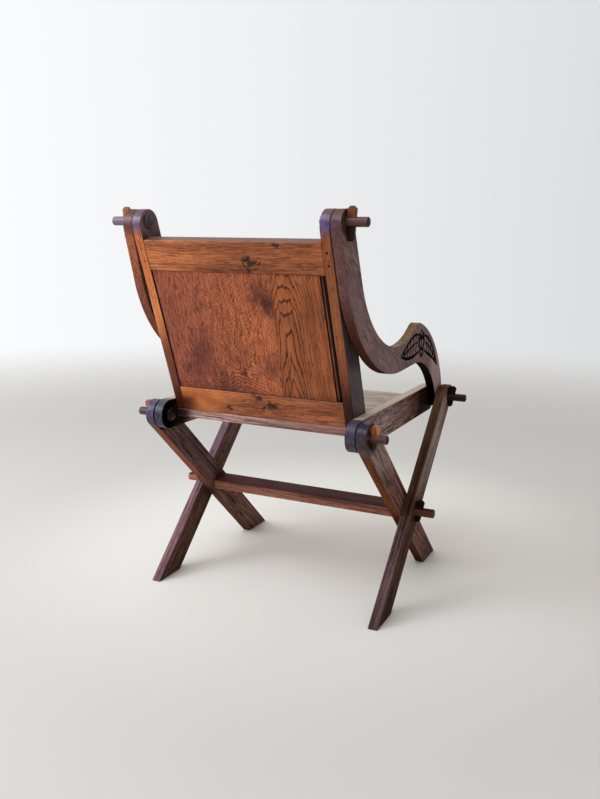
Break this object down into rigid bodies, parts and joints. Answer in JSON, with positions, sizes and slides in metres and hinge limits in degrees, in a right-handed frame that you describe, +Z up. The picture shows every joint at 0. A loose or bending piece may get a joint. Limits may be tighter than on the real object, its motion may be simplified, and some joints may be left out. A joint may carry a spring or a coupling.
{
  "type": "glastonbury chair",
  "caption": "Knock-down oak armchair of flat boards with a leaning panelled back, S-shaped carved arms and crossed legs, held by round pins and wedge keys; arms and back swing forward.",
  "frame": {"origin": "on the floor, under the middle of the chair's outer box", "axes": "+Z up, the chair faces -Y, +X to the sitter's left"},
  "size_m": [0.649, 0.6291, 0.848],
  "materials": {
    "leg_oak": "dark brown waxed oak with open grain",
    "arm_oak": "grey-brown waxed oak",
    "back_oak": "orange-brown polished oak",
    "panel_oak": "red-brown polished oak",
    "seat_oak": "tan worn oak",
    "stretcher_oak": "brown oak, worn paler on its rear edge",
    "pin_oak": "dark turned oak",
    "key_oak": "paler oak, roughly pared",
    "peg_oak": "dark oak end grain"
  },
  "bodies": {
    "base": {"inner_leg_left": "leg_oak", "inner_leg_right": "leg_oak", "outer_leg_left": "leg_oak", "outer_leg_right": "leg_oak", "seat_rail_left": "leg_oak", "seat_rail_right": "leg_oak", "seat_board": "seat_oak", "stretcher": "stretcher_oak", "rear_pin_left": "pin_oak", "rear_pin_right": "pin_oak", "front_pin_left": "pin_oak", "front_pin_right": "pin_oak"},
    "left_arm": {"arm_left": "arm_oak", "top_pin_left": "pin_oak"},
    "right_arm": {"arm_right": "arm_oak", "top_pin_right": "pin_oak"},
    "back": {"back_stile_left": "back_oak", "back_stile_right": "back_oak", "back_top_rail": "back_oak", "back_bottom_rail": "back_oak", "back_panel": "panel_oak", "peg_top_upper_left": "peg_oak", "peg_top_upper_right": "peg_oak", "peg_top_lower_left": "peg_oak", "peg_top_lower_right": "peg_oak", "peg_bottom_upper_left": "peg_oak", "peg_bottom_upper_right": "peg_oak", "peg_bottom_lower_left": "peg_oak", "peg_bottom_lower_right": "peg_oak"},
    "top_key_left": {"top_key_left": "key_oak"},
    "top_key_right": {"top_key_right": "key_oak"},
    "rear_key_left": {"rear_key_left": "key_oak"},
    "rear_key_right": {"rear_key_right": "key_oak"},
    "front_key_left": {"front_key_left": "key_oak"},
    "front_key_right": {"front_key_right": "key_oak"},
    "stretcher_key_left": {"stretcher_key_left": "key_oak"},
    "stretcher_key_right": {"stretcher_key_right": "key_oak"}
  },
  "joints": [
    {"name": "left_arm_swing", "type": "hinge", "parent": "base", "child": "left_arm", "pos_m": [0.24655, -0.2825, 0.411], "axis": [1, 0, 0], "range_deg": [0, 100]},
    {"name": "right_arm_swing", "type": "hinge", "parent": "base", "child": "right_arm", "pos_m": [-0.24655, -0.2825, 0.411], "axis": [1, 0, 0], "range_deg": [0, 100]},
    {"name": "back_swing", "type": "hinge", "parent": "left_arm", "child": "back", "pos_m": [0, 0.2865, 0.82], "axis": [-1, 0, 0], "range_deg": [0, 85]},
    {"name": "top_key_left_draw", "type": "slide", "parent": "left_arm", "child": "top_key_left", "axis": [0, 0, 1], "range_m": [0, 0.045]},
    {"name": "top_key_right_draw", "type": "slide", "parent": "right_arm", "child": "top_key_right", "axis": [0, 0, 1], "range_m": [0, 0.045]},
    {"name": "rear_key_left_draw", "type": "slide", "parent": "base", "child": "rear_key_left", "axis": [0, 0, 1], "range_m": [0, 0.035]},
    {"name": "rear_key_right_draw", "type": "slide", "parent": "base", "child": "rear_key_right", "axis": [0, 0, 1], "range_m": [0, 0.035]},
    {"name": "front_key_left_draw", "type": "slide", "parent": "base", "child": "front_key_left", "axis": [0, 0, 1], "range_m": [0, 0.035]},
    {"name": "front_key_right_draw", "type": "slide", "parent": "base", "child": "front_key_right", "axis": [0, 0, 1], "range_m": [0, 0.035]},
    {"name": "stretcher_key_left_draw", "type": "slide", "parent": "base", "child": "stretcher_key_left", "axis": [0, 0, 1], "range_m": [0, 0.035]},
    {"name": "stretcher_key_right_draw", "type": "slide", "parent": "base", "child": "stretcher_key_right", "axis": [0, 0, 1], "range_m": [0, 0.035]}
  ],
  "couplings": [
    {"joint": "right_arm_swing", "follows": "left_arm_swing", "ratio": 1}
  ]
}
